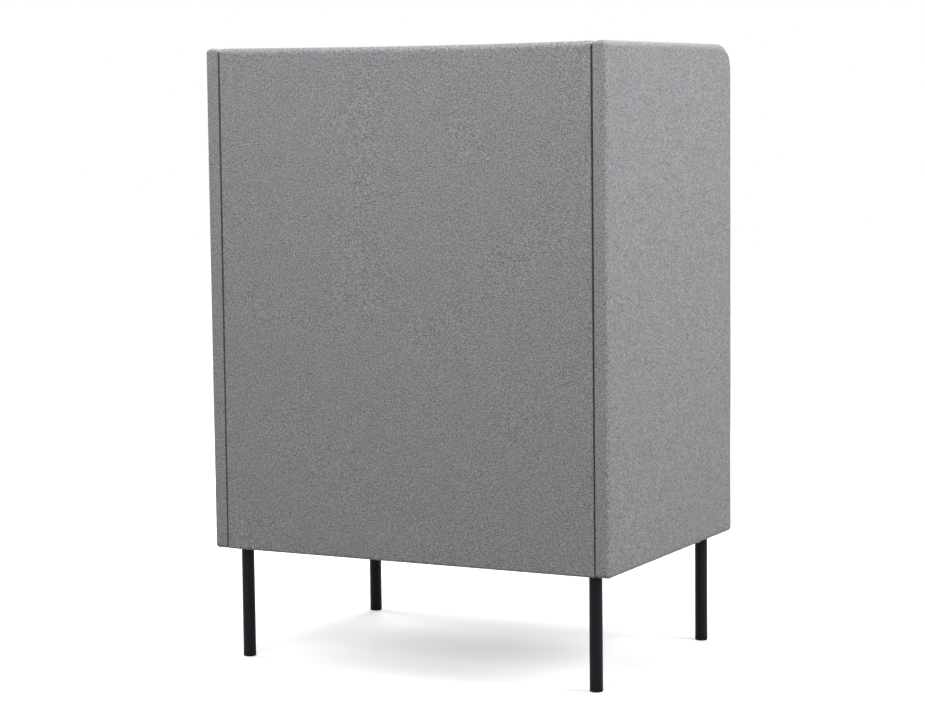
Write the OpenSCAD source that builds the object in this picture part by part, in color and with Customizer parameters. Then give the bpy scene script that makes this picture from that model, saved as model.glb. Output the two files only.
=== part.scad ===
// Acoustic high back lounge chair: three upholstered panels round a seat on four tube legs.
// The sitter looks along -Y, so left is +X. The origin is on the floor, under the middle.

/* [Overall] */
// Width over the two side panels
chair_w = 870; // [780:10:1000]
// Depth of the side panels, front edge to rear face
chair_d = 610; // [590:10:720]
// Height of the top edges above the floor
chair_h = 1220; // [1100:10:1500]
// Height of the lower edges of the panels above the floor
leg_room = 225; // [170:5:300]

/* [Acoustic panels] */
// Thickness of a finished panel
panel_t = 30; // [28:0.5:36]
// Plywood inside a panel
panel_ply = 18; // [16:0.5:20]
// Radius of the top front corner of a side panel, seen from the side
wing_r = 52; // [30:1:150]
// Radius of the other corners of a side panel, seen from the side
corner_r = 8; // [6:0.5:12]
// Radius along the outer top edges
outer_top_r = 12; // [9:0.5:14]
// Radius along the inner top edges
inner_top_r = 5; // [3:0.5:10]
// Radius along the outer rear edges
outer_edge_r = 9; // [6:0.5:12]
// Radius along the front edges
front_edge_r = 6; // [4:0.5:10]
// Radius along the edges that meet at the seams
seam_edge_r = 3; // [2:0.5:5]
// Radius along the lower edges
lower_edge_r = 5; // [3:0.5:8]
// Plywood beside and above the window of a panel
stile_w = 60; // [40:5:80]
// Plywood below the window of a panel
base_band = 120; // [100:5:160]
// Corner radius of the window
window_r = 12; // [8:1:20]
// Thickness of the fabric
cover_t = 1; // [0.8:0.1:1.4]
// Width of the fabric turned under a panel
hem_w = 10; // [7:0.5:12]

/* [Seat base] */
// Thickness of the rails
rail_t = 18; // [15:1:21]
// Height of the rails
rail_h = 60; // [50:2:80]
// Side of the square corner blocks
block_w = 100; // [96:2:120]
// Height of the corner blocks
block_h = 30; // [26:1:34]
// Thickness of the seat deck
deck_t = 15; // [12:1:18]
// Set-back of the front of the base behind the front edges of the side panels
front_setback = 2; // [1:0.5:10]
// Foam on the front of the base
base_foam_t = 5; // [4:0.5:8]
// Radius along the front edges of the base
apron_r = 5; // [3:0.5:8]
// Width of the fabric folded over and under the base
fold_w = 16; // [10:1:17]
// Thickness of the dust cover
dust_t = 0.5; // [0.4:0.1:0.8]
// Set-back of the dust cover from the panels
dust_in = 3; // [2:0.5:8]

/* [Arms] */
// Width of an arm
arm_w = 80; // [65:5:100]
// Height of the arms above the floor
arm_top = 640; // [560:10:700]
// Foam on an arm
arm_foam_t = 10; // [6:1:14]
// Plywood of an arm
arm_ply = 12; // [9:1:15]
// Bottom board of an arm
arm_foot_t = 15; // [15:1:18]
// Radius along the inner top edge and the front of an arm
arm_r = 12; // [8:1:16]
// Radius along the other edges of an arm
arm_edge_r = 5; // [3:0.5:8]

/* [Seat and back cushions] */
// Thickness of the seat cushion at its edge
seat_cushion_t = 124; // [100:2:150]
// Rise of the middle of the seat cushion
seat_crown = 10; // [4:1:18]
// Thickness of the back cushion at its edge
back_cushion_t = 62; // [50:2:80]
// Rise of the middle of the back cushion
back_crown = 11; // [4:1:14]
// Height of the top of the back cushion above the floor
back_cushion_top = 830; // [760:10:900]
// Corner radius of a cushion, seen from its face
cushion_r = 26; // [16:2:36]
// Inward draw of the middle of each side of a cushion
cushion_draw = 6; // [2:1:10]
// Board behind the back cushion
board_t = 12; // [9:1:15]
// Part of the back cushion that stands above its board
board_drop = 15; // [10:5:40]

/* [Legs and glides] */
// Outer diameter of a leg
leg_d = 25.4; // [22:0.2:27]
// Wall of a leg
leg_wall = 1.5; // [1.2:0.1:2]
// Distance from the outer side of a panel to the axis of a leg
leg_inset_x = 50; // [47:1:60]
// Distance from the front or rear of a panel to the axis of a leg
leg_inset_y = 45; // [45:1:50]
// Side of the square leg plates
plate_w = 90; // [86:1:94]
// Thickness of the leg plates
plate_t = 4; // [4:0.5:6]
// Height of the glides under the legs
glide_h = 11; // [9:0.5:16]
// Length of the stud of a glide
stud_len = 42; // [38:1:60]

/* [Hidden] */
$fn = 64;
// A cut runs this far past the face that it opens
over = 1;

// Colours
fabric_grey = "#8c8a8d";
seat_grey = "#7f7d80";
foam_cream = "#e8e0c6";
felt_pale = "#d3d6d8";
ply_tan = "#cfae7c";
steel_black = "#202126";
zinc = "#b9bdc2";
nylon_black = "#17171a";
dust_black = "#2b2b2e";

// Clearances
// Between the layers of an upholstered piece
layer_gap = 0.2;
// Between the back panel and a side panel
seam_gap = 0.5;
// Between the seat base and the panels
panel_gap = 0.3;
// Round a pad in its window
pad_gap = 0.3;
// Round a screw, barrel or plug in its hole
fit_gap = 0.1;
// Round the stud of a glide, and over its foot
stud_gap = 0.3;
// Round a cushion
cushion_gap = 0.7;
// Between the rear of an arm and the flat edge of the back cushion
arm_back_gap = 6;

// Panel faces and edges
panel_out = chair_w / 2;
panel_in = panel_out - panel_t;
rear_y = chair_d / 2;
front_y = -rear_y;
back_in_y = rear_y - panel_t;
back_half = panel_in - seam_gap;
// Depth of the plywood below the fabric, and of the foam
ply_in = (panel_t - panel_ply) / 2;
foam_in = cover_t + layer_gap;
panel_foot = leg_room + foam_in;

// Seat base levels and edges
base_half = panel_in - panel_gap;
plate_rise = 2;
plate_foot = leg_room + plate_rise;
rail_foot = plate_foot + plate_t;
rail_top = rail_foot + rail_h;
deck_top = rail_top + deck_t;
apron_y = front_y + front_setback;
rail_front_y = apron_y + cover_t + layer_gap + base_foam_t + layer_gap;
base_rear_y = back_in_y - panel_gap;
rail_rear_y = base_rear_y - board_t;
side_rail_x = base_half - rail_t / 2;
cross_rail_front = rail_front_y + rail_t;
cross_rail_rear = rail_rear_y - rail_t;

// Cushion and arm places
tape_t = 3;
tape_w = 40;
tape_h = 380;
tape_place_share = 0.5;
back_cushion_y = rail_rear_y - tape_t;
back_cushion_front = back_cushion_y - back_cushion_t;
back_cushion_foot = deck_top + cushion_gap;
back_cushion_half_h = (back_cushion_top - back_cushion_foot) / 2;
back_cushion_mid = back_cushion_foot + back_cushion_half_h;
back_cushion_half_w = base_half - cushion_gap;
arm_out = base_half;
arm_in = arm_out - arm_w;
arm_rear = back_cushion_front - arm_back_gap;
arm_foot = deck_top + layer_gap;
seat_half_w = arm_in - cushion_gap;
seat_front = apron_y + cushion_gap;
seat_rear = back_cushion_front - back_crown - cushion_gap;
seat_half_d = (seat_rear - seat_front) / 2;
seat_mid_y = (seat_rear + seat_front) / 2;
seat_foot = deck_top + cover_t + panel_gap;

// Leg places
leg_x = panel_out - leg_inset_x;
leg_y = rear_y - leg_inset_y;
plate_lap = 14.4;
plate_corner_r = 6;
weld_leg = 1.5;
leg_screw_near = 31;
leg_screw_far = 64;

// Screws: thread diameter, head diameter, length
plate_screw = [3.5, 7, 16];
rail_screw = [5, 9.6, 50];
deck_screw = [4, 8, 35];
arm_screw = [5, 9.6, 28];
leg_screw = [6, 12, 35];

// Bolts that hold the panels
bolt_d = 8;
bolt_hole_d = 9;
bolt_head_w = 13;
bolt_head_h = 5.3;
washer_d = 24;
washer_t = 2;
side_bolt_len = 45;
rear_bolt_len = 55;
bolt_z = rail_foot + rail_h / 2;
// From the outer side bolts to the corner blocks behind them
bolt_block_gap = 22.7;
side_bolt_y = cross_rail_rear - block_w - bolt_block_gap;
rear_bolt_shares = [-0.26, -0.09, 0.09, 0.26];

// T-nuts: thread diameter, barrel diameter, barrel length, flange diameter, flange thickness
panel_t_nut = [8, 10, 13, 19, 1.6];
leg_t_nut = [6, 7.7, 9, 16, 1.4];

// Keyhole connectors between the back panel and the side panels
connector_height_shares = [0.28, 0.58, 0.88];
key_plate_w = 14;
key_plate_h = 60;
key_plate_t = 2;
key_drop = 16;
key_entry_d = 11;
key_slot_w = 5.4;
key_pocket_w = 12;
key_pocket_depth = 5;
key_screw_edge = 7;
key_stud_d = 5;
key_head_d = 10;
key_head_t = 2.5;
key_thread_d = 4.8;
key_thread_len = 14;
key_hole_gap = 0.5;
key_plate_x = back_half - ply_in;
key_y = back_in_y + panel_t / 2;
key_zs = [for (s = connector_height_shares) leg_room + s * (chair_h - leg_room)];

// Glides
foot_edge_r = 2;
foot_top_r = 0.6;
stud_d = 8;
stud_seat = 2.7;
insert_h = 20;
nut_w = 13;
nut_h = 6.5;
foot_h = glide_h - stud_gap;

// A cushion's rings, bottom to top: share of its half sizes, of its edge height, of its crown
cushion_ring_shares = [
  [0.5, 0, 0], [0.9, 0, 0], [0.965, 0.02, 0], [0.99, 0.09, 0], [1, 0.25, 0], [1, 0.72, 0],
  [0.992, 0.9, 0], [0.968, 0.98, 1], [0.9, 1, 1], [0.75, 1, 1], [0.5, 1, 1], [0.25, 1, 1],
];
corner_points = 5;
side_points = 5;

// Radii less an inset, down to sharp
function shrink(radii, inset) = [for (r = radii) max(r - inset, 0)];

// Both hands of a piece that is drawn on the left
module both() {
  children();
  mirror([1, 0, 0]) children();
}

// The waste outside a rounded corner: way points from the corner into the piece
module corner_waste(at, way, r) {
  if (r > 0) {
    low = [for (k = [0, 1]) min(at[k] - way[k] * over, at[k] + way[k] * r)];
    difference() {
      translate(low) square(r + over);
      translate(at + way * r) circle(r);
    }
  }
}

// A rectangle with its own radius at each corner, in turn from the low corner
module soft_rect(lo, hi, radii) {
  difference() {
    translate(lo) square(hi - lo);
    corner_waste(lo, [1, 1], radii[0]);
    corner_waste([hi.x, lo.y], [-1, 1], radii[1]);
    corner_waste(hi, [-1, -1], radii[2]);
    corner_waste([lo.x, hi.y], [1, -1], radii[3]);
  }
}

// A flat shape drawn in Y and Z, made solid from x0 to x1
module along_x(x0, x1) {
  translate([x0, 0, 0]) rotate([90, 0, 90]) linear_extrude(x1 - x0) children();
}

// A flat shape drawn in X and Z, made solid from y0 to y1
module along_y(y0, y1) {
  translate([0, y1, 0]) rotate([90, 0, 0]) linear_extrude(y1 - y0) children();
}

// A block between two corners
module block(lo, hi) {
  translate(lo) cube(hi - lo);
}

// A padded block, rounded as seen from the side, from the front and from above
module soft_block(lo, hi, side_r, front_r, plan_r) {
  intersection() {
    along_x(lo.x, hi.x) soft_rect([lo.y, lo.z], [hi.y, hi.z], side_r);
    along_y(lo.y, hi.y) soft_rect([lo.x, lo.z], [hi.x, hi.z], front_r);
    translate([0, 0, lo.z]) linear_extrude(hi.z - lo.z)
      soft_rect([lo.x, lo.y], [hi.x, hi.y], plan_r);
  }
}

// Fasteners, drawn along +Z from the face that they bear on

// A countersunk screw, or its hole when it is grown
module csk_screw(screw, grow = 0) {
  translate([0, 0, -grow]) cylinder(d = screw[0] + 2 * grow, h = screw[2] + 2 * grow);
  cylinder(d1 = screw[1] + 2 * grow, d2 = screw[0] + 2 * grow, h = (screw[1] - screw[0]) / 2);
}

module bolt(len) {
  cylinder(d = bolt_d, h = len);
  translate([0, 0, -bolt_head_h])
    cylinder(d = bolt_head_w / cos(30), h = bolt_head_h, $fn = 6);
}

module washer() {
  difference() {
    cylinder(d = washer_d, h = washer_t);
    translate([0, 0, -over]) cylinder(d = bolt_d + 2 * fit_gap, h = washer_t + 2 * over);
  }
}

// A T-nut with its flange on z = 0 and its barrel below
module t_nut(nut) {
  difference() {
    union() {
      cylinder(d = nut[3], h = nut[4]);
      translate([0, 0, -nut[2]]) cylinder(d = nut[1], h = nut[2]);
    }
    translate([0, 0, -nut[2] - over])
      cylinder(d = nut[0] + 2 * fit_gap, h = nut[2] + nut[4] + 2 * over);
  }
}

// Places of the bolts: the side bolts run along +X on the left, the rear bolts along +Y
module at_side_bolts(x) {
  for (way = [-1, 0, 1])
    translate([x, way * side_bolt_y, bolt_z]) rotate([0, 90, 0]) children();
}

module at_rear_bolts(y) {
  for (s = rear_bolt_shares)
    translate([s * chair_w, y, bolt_z]) rotate([-90, 0, 0]) children();
}

// The side panel, drawn on the left

// The outer form of a side panel, drawn in by an inset
module side_form(inset, foot) {
  soft_block(
    [panel_in + inset, front_y + inset, foot],
    [panel_out - inset, rear_y - inset, chair_h - inset],
    shrink([corner_r, corner_r, corner_r, wing_r], inset),
    shrink([lower_edge_r, lower_edge_r, outer_top_r, inner_top_r], inset),
    shrink([front_edge_r, front_edge_r, outer_edge_r, seam_edge_r], inset)
  );
}

// The plywood board of a side panel, grown by a gap
module side_board(grow, foot) {
  along_x(panel_in + ply_in - grow, panel_out - ply_in + grow)
    soft_rect(
      [front_y + ply_in - grow, foot],
      [rear_y - ply_in + grow, chair_h - ply_in + grow],
      [0, 0, 0, wing_r - ply_in + grow]
    );
}

// The pad in the window of a side panel
module side_window(gap) {
  soft_rect(
    [front_y + ply_in + stile_w + gap, panel_foot + base_band + gap],
    [rear_y - ply_in - stile_w - gap, chair_h - ply_in - stile_w - gap],
    [for (k = [0:3]) window_r - gap]
  );
}

// Holes for the bolts and connector studs, from the inner face of the panel
module side_panel_holes(bolt_hole, stud_hole) {
  at_side_bolts(panel_in - over) cylinder(d = bolt_hole, h = panel_t / 2);
  for (z = key_zs)
    translate([panel_in - over, key_y, z]) rotate([0, 90, 0])
      cylinder(d = stud_hole, h = panel_t / 2);
}

module side_panel_cover() {
  difference() {
    side_form(0, leg_room);
    side_form(cover_t, leg_room + cover_t);
    block(
      [panel_in + hem_w, front_y + hem_w, leg_room - over],
      [panel_out - hem_w, rear_y - hem_w, leg_room + cover_t + over]
    );
    side_panel_holes(bolt_hole_d, key_stud_d + 2 * key_hole_gap);
  }
}

module side_panel_foam() {
  difference() {
    side_form(foam_in, panel_foot);
    side_board(layer_gap, leg_room - over);
    side_panel_holes(bolt_hole_d, key_stud_d + 2 * key_hole_gap);
    at_side_bolts(panel_out - panel_t / 2)
      cylinder(d = panel_t_nut[3] + 2 * layer_gap, h = panel_ply / 2 + panel_t_nut[4] + layer_gap);
  }
}

module side_panel_frame() {
  difference() {
    side_board(0, panel_foot);
    along_x(panel_in, panel_out) side_window(0);
    at_side_bolts(panel_in) cylinder(d = panel_t_nut[1] + 2 * fit_gap, h = panel_t);
    for (z = key_zs)
      translate([panel_in, key_y, z]) rotate([0, 90, 0])
        cylinder(d = key_thread_d + 2 * fit_gap, h = ply_in + key_thread_len + layer_gap);
  }
}

module side_infill() {
  along_x(panel_in + ply_in, panel_out - ply_in) side_window(pad_gap);
}

module left_panel_cover() { color(fabric_grey) side_panel_cover(); }
module right_panel_cover() { color(fabric_grey) mirror([1, 0, 0]) side_panel_cover(); }
module left_panel_foam() { color(foam_cream) side_panel_foam(); }
module right_panel_foam() { color(foam_cream) mirror([1, 0, 0]) side_panel_foam(); }
module left_panel_frame() { color(ply_tan) side_panel_frame(); }
module right_panel_frame() { color(ply_tan) mirror([1, 0, 0]) side_panel_frame(); }
module left_acoustic_infill() { color(felt_pale) side_infill(); }
module right_acoustic_infill() { color(felt_pale) mirror([1, 0, 0]) side_infill(); }

// The back panel

module back_form(inset, foot) {
  soft_block(
    [-back_half + inset, back_in_y + inset, foot],
    [back_half - inset, rear_y - inset, chair_h - inset],
    shrink([lower_edge_r, lower_edge_r, outer_top_r, inner_top_r], inset),
    shrink([for (k = [0:3]) seam_edge_r], inset),
    shrink([for (k = [0:3]) seam_edge_r], inset)
  );
}

module back_board(grow, foot) {
  block(
    [-back_half + ply_in - grow, back_in_y + ply_in - grow, foot],
    [back_half - ply_in + grow, rear_y - ply_in + grow, chair_h - ply_in + grow]
  );
}

module back_window(gap) {
  soft_rect(
    [-back_half + ply_in + stile_w + gap, panel_foot + base_band + gap],
    [back_half - ply_in - stile_w - gap, chair_h - ply_in - stile_w - gap],
    [for (k = [0:3]) window_r - gap]
  );
}

// The upright slot that a connector stud drops into, from depth x0 to x1
module key_slot(x0, x1, w) {
  for (z = key_zs)
    both() {
      along_x(x0, x1) translate([key_y - w / 2, z - key_drop]) square([w, key_drop]);
      for (drop = [0, key_drop])
        translate([x0, key_y, z - drop]) rotate([0, 90, 0]) cylinder(d = w, h = x1 - x0);
    }
}

// A connector plate's place: its outer face, on its middle
module at_key_plates() {
  for (z = key_zs)
    both() translate([key_plate_x, key_y, z - key_drop / 2]) children();
}

module at_key_screws() {
  at_key_plates()
    for (way = [-1, 1])
      translate([0, 0, way * (key_plate_h / 2 - key_screw_edge)]) rotate([0, -90, 0]) children();
}

module back_panel_cover() {
  color(fabric_grey) difference() {
    back_form(0, leg_room);
    back_form(cover_t, leg_room + cover_t);
    block(
      [-back_half + hem_w, back_in_y + hem_w, leg_room - over],
      [back_half - hem_w, rear_y - hem_w, leg_room + cover_t + over]
    );
    at_rear_bolts(back_in_y - over) cylinder(d = bolt_hole_d, h = panel_t / 2);
    key_slot(key_plate_x, panel_in, key_pocket_w);
  }
}

module back_panel_foam() {
  color(foam_cream) difference() {
    back_form(foam_in, panel_foot);
    back_board(layer_gap, leg_room - over);
    at_rear_bolts(back_in_y - over) cylinder(d = bolt_hole_d, h = panel_t / 2);
    at_rear_bolts(rear_y - panel_t / 2)
      cylinder(d = panel_t_nut[3] + 2 * layer_gap, h = panel_ply / 2 + panel_t_nut[4] + layer_gap);
    key_slot(key_plate_x, panel_in, key_pocket_w);
  }
}

module back_panel_frame() {
  color(ply_tan) difference() {
    back_board(0, panel_foot);
    along_y(back_in_y, rear_y) back_window(0);
    at_rear_bolts(back_in_y) cylinder(d = panel_t_nut[1] + 2 * fit_gap, h = panel_t);
    at_key_plates()
      block(
        [-key_plate_t, -key_plate_w / 2 - fit_gap, -key_plate_h / 2 - fit_gap],
        [over, key_plate_w / 2 + fit_gap, key_plate_h / 2 + fit_gap]
      );
    key_slot(key_plate_x - key_plate_t - key_pocket_depth, key_plate_x, key_pocket_w);
    at_key_screws() csk_screw(plate_screw, fit_gap);
  }
}

module back_acoustic_infill() {
  color(felt_pale) along_y(back_in_y + ply_in, rear_y - ply_in) back_window(pad_gap);
}

// Keyhole connectors

module connector_plates() {
  color(zinc) difference() {
    at_key_plates()
      block(
        [-key_plate_t, -key_plate_w / 2, -key_plate_h / 2],
        [0, key_plate_w / 2, key_plate_h / 2]
      );
    key_slot(key_plate_x - key_plate_t - over, key_plate_x + over, key_slot_w);
    for (z = key_zs)
      both() translate([key_plate_x - key_plate_t - over, key_y, z - key_drop]) rotate([0, 90, 0])
        cylinder(d = key_entry_d, h = key_plate_t + 2 * over);
    at_key_screws() csk_screw(plate_screw, fit_gap);
  }
}

module connector_plate_screws() {
  color(zinc) at_key_screws() csk_screw(plate_screw);
}

module connector_studs() {
  head_x = key_plate_x - key_plate_t - fit_gap;
  ply_x = panel_in + ply_in;
  color(zinc) both() for (z = key_zs)
    translate([0, key_y, z]) rotate([0, 90, 0]) {
      translate([0, 0, head_x - key_head_t]) cylinder(d = key_head_d, h = key_head_t);
      translate([0, 0, head_x]) cylinder(d = key_stud_d, h = ply_x - layer_gap - head_x);
      translate([0, 0, head_x]) cylinder(d = key_thread_d, h = ply_x + key_thread_len - head_x);
    }
}

// Bolts of the panels

module panel_bolts() {
  color(zinc) {
    both() at_side_bolts(base_half - rail_t - washer_t) bolt(side_bolt_len);
    at_rear_bolts(cross_rail_rear - washer_t) bolt(rear_bolt_len);
  }
}

module panel_bolt_washers() {
  color(zinc) {
    both() at_side_bolts(base_half - rail_t - washer_t) washer();
    at_rear_bolts(cross_rail_rear - washer_t) washer();
  }
}

module panel_t_nuts() {
  color(zinc) {
    both() at_side_bolts(panel_out - ply_in) t_nut(panel_t_nut);
    at_rear_bolts(rear_y - ply_in) t_nut(panel_t_nut);
  }
}

// Seat base

// Screws through the front and rear rails into the ends of the rails between them
rail_screw_shares = [0.25, 0.75];

module at_rail_screws() {
  for (x = [-side_rail_x, 0, side_rail_x], s = rail_screw_shares) {
    z = rail_foot + s * rail_h;
    translate([x, rail_front_y, z]) rotate([-90, 0, 0]) children();
    translate([x, rail_rear_y, z]) rotate([90, 0, 0]) children();
  }
}

// Screws down through the deck
deck_side_shares = [-0.31, -0.1, 0.1, 0.31];
deck_centre_shares = [-0.25, 0, 0.25];
deck_front_shares = [-0.25, 0.25];

module at_deck_screws() {
  for (s = deck_side_shares, x = [-side_rail_x, side_rail_x])
    translate([x, s * chair_d, deck_top]) rotate([180, 0, 0]) children();
  for (s = deck_centre_shares)
    translate([0, s * chair_d, deck_top]) rotate([180, 0, 0]) children();
  for (s = deck_front_shares)
    translate([s * chair_w, rail_front_y + rail_t / 2, deck_top]) rotate([180, 0, 0]) children();
}

// Screws up through the deck into the arms
arm_screw_shares = [0.15, 0.5, 0.85];

module at_arm_screws() {
  both() for (s = arm_screw_shares)
    translate([(arm_in + arm_out) / 2, apron_y + s * (arm_rear - apron_y), rail_top]) children();
}

module left_rail_form() {
  difference() {
    block([base_half - rail_t, cross_rail_front, rail_foot], [base_half, cross_rail_rear, rail_top]);
    at_side_bolts(base_half - rail_t - over) cylinder(d = bolt_hole_d, h = rail_t + 2 * over);
    at_rail_screws() csk_screw(rail_screw, fit_gap);
    at_deck_screws() csk_screw(deck_screw, fit_gap);
  }
}

module left_rail() { color(ply_tan) left_rail_form(); }
module right_rail() { color(ply_tan) mirror([1, 0, 0]) left_rail_form(); }

module centre_rail() {
  color(ply_tan) difference() {
    block([-rail_t / 2, cross_rail_front, rail_foot], [rail_t / 2, cross_rail_rear, rail_top]);
    at_rail_screws() csk_screw(rail_screw, fit_gap);
    at_deck_screws() csk_screw(deck_screw, fit_gap);
  }
}

module front_rail() {
  color(ply_tan) difference() {
    block([-base_half, rail_front_y, rail_foot], [base_half, cross_rail_front, rail_top]);
    at_rail_screws() csk_screw(rail_screw, fit_gap);
    at_deck_screws() csk_screw(deck_screw, fit_gap);
  }
}

module rear_rail() {
  color(ply_tan) difference() {
    block([-base_half, cross_rail_rear, rail_foot], [base_half, rail_rear_y, rail_top]);
    at_rear_bolts(cross_rail_rear - over) cylinder(d = bolt_hole_d, h = rail_t + 2 * over);
    at_rail_screws() csk_screw(rail_screw, fit_gap);
  }
}

module rail_screws() {
  color(zinc) at_rail_screws() csk_screw(rail_screw);
}

module corner_blocks() {
  inner_x = base_half - rail_t;
  color(ply_tan) difference() {
    both() {
      block(
        [inner_x - block_w, cross_rail_front, rail_foot],
        [inner_x, cross_rail_front + block_w, rail_foot + block_h]
      );
      block(
        [inner_x - block_w, cross_rail_rear - block_w, rail_foot],
        [inner_x, cross_rail_rear, rail_foot + block_h]
      );
    }
    at_leg_screws() translate([0, 0, plate_t - over])
      cylinder(d = leg_t_nut[1] + 2 * fit_gap, h = block_h + 2 * over);
  }
}

module seat_deck() {
  color(ply_tan) difference() {
    block([-base_half, rail_front_y, rail_top], [base_half, rail_rear_y, deck_top]);
    at_deck_screws() csk_screw(deck_screw, fit_gap);
    at_arm_screws() csk_screw(arm_screw, fit_gap);
  }
}

module deck_screws() {
  color(zinc) at_deck_screws() csk_screw(deck_screw);
}

module arm_screws() {
  color(zinc) at_arm_screws() csk_screw(arm_screw);
}

module front_base_foam() {
  lo = [apron_y + foam_in, rail_foot + layer_gap];
  hi = [rail_front_y - layer_gap, deck_top - layer_gap];
  color(foam_cream) along_x(-base_half, base_half)
    soft_rect(lo, hi, shrink([apron_r, 0, 0, apron_r], foam_in));
}

// The fabric over the front of the base: its upper fold is notched at the arms
module front_base_cover() {
  fold_y = rail_front_y + fold_w;
  color(fabric_grey) difference() {
    along_x(-base_half, base_half) difference() {
      soft_rect(
        [apron_y, rail_foot - cover_t], [fold_y, deck_top + cover_t], [apron_r, 0, 0, apron_r]
      );
      soft_rect(
        [apron_y + cover_t, rail_foot], [fold_y + over, deck_top],
        shrink([apron_r, 0, 0, apron_r], cover_t)
      );
    }
    both() block(
      [arm_in - layer_gap, apron_y - over, deck_top],
      [base_half + over, fold_y + over, deck_top + cover_t + over]
    );
  }
}

module dust_cover() {
  color(dust_black) difference() {
    block(
      [dust_in - base_half, rail_front_y + fold_w + layer_gap, rail_foot - dust_t],
      [base_half - dust_in, base_rear_y - dust_in, rail_foot]
    );
    at_legs() translate([0, 0, -over]) linear_extrude(rail_foot + 2 * over) leg_plate_outline(panel_gap);
  }
}

// Arms, drawn on the left

module arm_form(inset, foot) {
  soft_block(
    [arm_in + inset, apron_y + inset, foot],
    [arm_out - inset, arm_rear - inset, arm_top - inset],
    shrink([arm_edge_r, arm_edge_r, arm_r, arm_r], inset),
    shrink([arm_edge_r, 0, arm_edge_r, arm_r], inset),
    shrink([arm_r, arm_edge_r, arm_edge_r, arm_edge_r], inset)
  );
}

// The box of an arm's frame, grown by a gap and open to the panel when it cuts
module arm_box(grow, foot, side) {
  pad = foam_in + arm_foam_t + layer_gap - grow;
  block([arm_in + pad, apron_y + pad, foot], [side, arm_rear - pad, arm_top - pad]);
}

module arm_cover() {
  difference() {
    arm_form(0, arm_foot);
    arm_form(cover_t, arm_foot + cover_t);
    block(
      [arm_in + fold_w, apron_y + fold_w, arm_foot - over],
      [arm_out - fold_w, arm_rear - fold_w, arm_foot + cover_t + over]
    );
  }
}

module arm_foam() {
  difference() {
    arm_form(foam_in, arm_foot + foam_in);
    arm_box(layer_gap, deck_top, arm_out);
  }
}

module arm_frame() {
  foot = arm_foot + foam_in;
  pad = foam_in + arm_foam_t + layer_gap;
  difference() {
    arm_box(0, foot, arm_out - foam_in);
    block(
      [arm_in + pad + arm_ply, apron_y + pad + arm_ply, foot + arm_foot_t],
      [arm_out, arm_rear - pad - arm_ply, arm_top - pad - arm_ply]
    );
    at_arm_screws() csk_screw(arm_screw, fit_gap);
  }
}

module left_arm_frame() { color(ply_tan) arm_frame(); }
module right_arm_frame() { color(ply_tan) mirror([1, 0, 0]) arm_frame(); }
module left_arm_foam() { color(foam_cream) arm_foam(); }
module right_arm_foam() { color(foam_cream) mirror([1, 0, 0]) arm_foam(); }
module left_arm_cover() { color(seat_grey) arm_cover(); }
module right_arm_cover() { color(seat_grey) mirror([1, 0, 0]) arm_cover(); }

// Back support and cushions

module back_support_board() {
  color(ply_tan) difference() {
    block([-base_half, rail_rear_y, rail_foot], [base_half, base_rear_y, back_cushion_top - board_drop]);
    at_rear_bolts(rail_rear_y - over) cylinder(d = bolt_hole_d, h = board_t + 2 * over);
  }
}

module back_cushion_tapes() {
  x = tape_place_share * back_cushion_half_w;
  color(dust_black) both()
    block(
      [x - tape_w / 2, back_cushion_y, back_cushion_mid - tape_h / 2],
      [x + tape_w / 2, rail_rear_y, back_cushion_mid + tape_h / 2]
    );
}

// The outline of a cushion, as points round a rectangle with round corners, sides drawn in
function cushion_outline(half, r) = [
  for (k = [0:3])
    let (
      way = [k == 0 || k == 3 ? 1 : -1, k < 2 ? 1 : -1],
      next = [k > 1 ? 1 : -1, k == 0 || k == 3 ? 1 : -1],
      from = [way.x * (half.x - r), way.y * (half.y - r)] + r * [cos(90 * k + 90), sin(90 * k + 90)],
      to = [next.x * (half.x - r), next.y * (half.y - r)] + r * [cos(90 * k + 90), sin(90 * k + 90)]
    )
    each [
      for (j = [0:corner_points - 1])
        let (turn = 90 * (k + j / corner_points))
        [way.x * (half.x - r) + r * cos(turn), way.y * (half.y - r) + r * sin(turn)],
      for (j = [0:side_points - 1]) from + (to - from) * j / side_points
    ]
];

function drawn_in(p, half) = [
  p.x * (1 - cushion_draw / half.x * (1 - pow(p.y / half.y, 2))),
  p.y * (1 - cushion_draw / half.y * (1 - pow(p.x / half.x, 2))),
];

function cushion_points(half, t, crown, r, inset) = [
  for (ring = cushion_ring_shares, p = cushion_outline(half, r))
    let (
      q = drawn_in(p, half) * ring[0],
      bulge = (1 - pow(q.x / half.x, 2)) * (1 - pow(q.y / half.y, 2))
    )
    [q.x, q.y, inset + t * ring[1] + crown * ring[2] * bulge]
];

// A crowned cushion lying on z = 0, drawn in all round by an inset
module cushion_form(half, t, crown, inset) {
  count = 4 * (corner_points + side_points);
  rings = len(cushion_ring_shares);
  points = cushion_points(
    half - [inset, inset], t - 2 * inset, crown, cushion_r - inset, inset
  );
  sides = [
    for (k = [0:rings - 2], i = [0:count - 1])
      let (a = k * count + i, b = k * count + (i + 1) % count)
      each [[a, a + count, b], [b, a + count, b + count]]
  ];
  bottom = [for (i = [1:count - 2]) [0, i, i + 1]];
  last = (rings - 1) * count;
  top = [for (i = [1:count - 2]) [last, last + i + 1, last + i]];
  polyhedron(points = points, faces = concat(sides, bottom, top));
}

module seat_cushion_form(inset) {
  translate([0, seat_mid_y, seat_foot])
    cushion_form([seat_half_w, seat_half_d], seat_cushion_t, seat_crown, inset);
}

module back_cushion_form(inset) {
  translate([0, back_cushion_y, back_cushion_mid]) rotate([90, 0, 0])
    cushion_form([back_cushion_half_w, back_cushion_half_h], back_cushion_t, back_crown, inset);
}

module seat_cushion_foam() { color(foam_cream) seat_cushion_form(cover_t + panel_gap); }

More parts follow.
